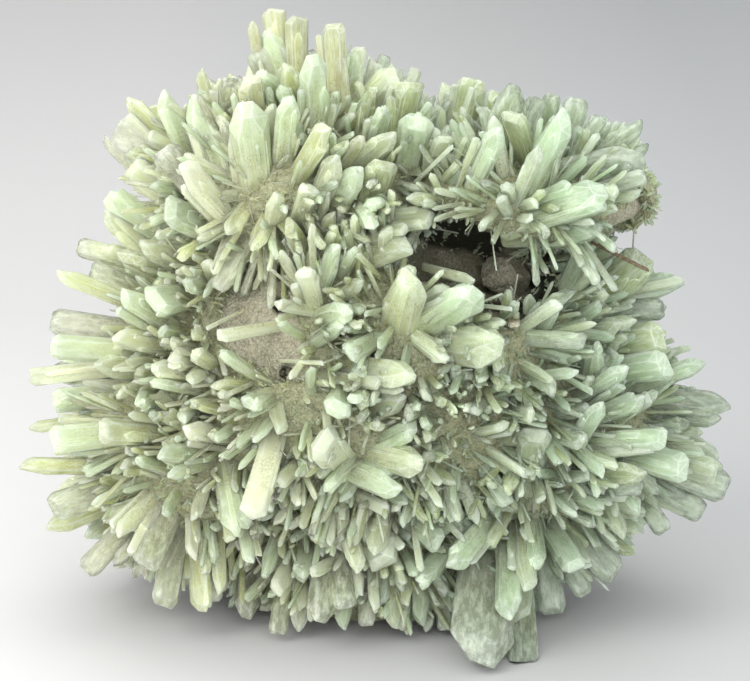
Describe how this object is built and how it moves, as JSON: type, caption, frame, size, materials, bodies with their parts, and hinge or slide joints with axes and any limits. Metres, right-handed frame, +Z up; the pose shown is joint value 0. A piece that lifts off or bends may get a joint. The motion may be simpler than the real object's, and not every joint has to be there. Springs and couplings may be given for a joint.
{
  "type": "gypsum crystal cluster",
  "caption": "Mineral specimen: radiating sprays of pale green gypsum blades covering a lumpy host rock with an open hollow in front.",
  "frame": {"origin": "middle of the small flat spot under the rock that the specimen rests on", "axes": "+Z up, +X to the right in the front view, +Y away from the front"},
  "size_m": [0.1825, 0.1208, 0.1549],
  "materials": {
    "matrix": "dull sugary grey-brown rock",
    "crystals": "glassy to milky pale green gypsum"
  },
  "bodies": {
    "root": {"matrix": "matrix", "crystals": "crystals"}
  },
  "joints": []
}
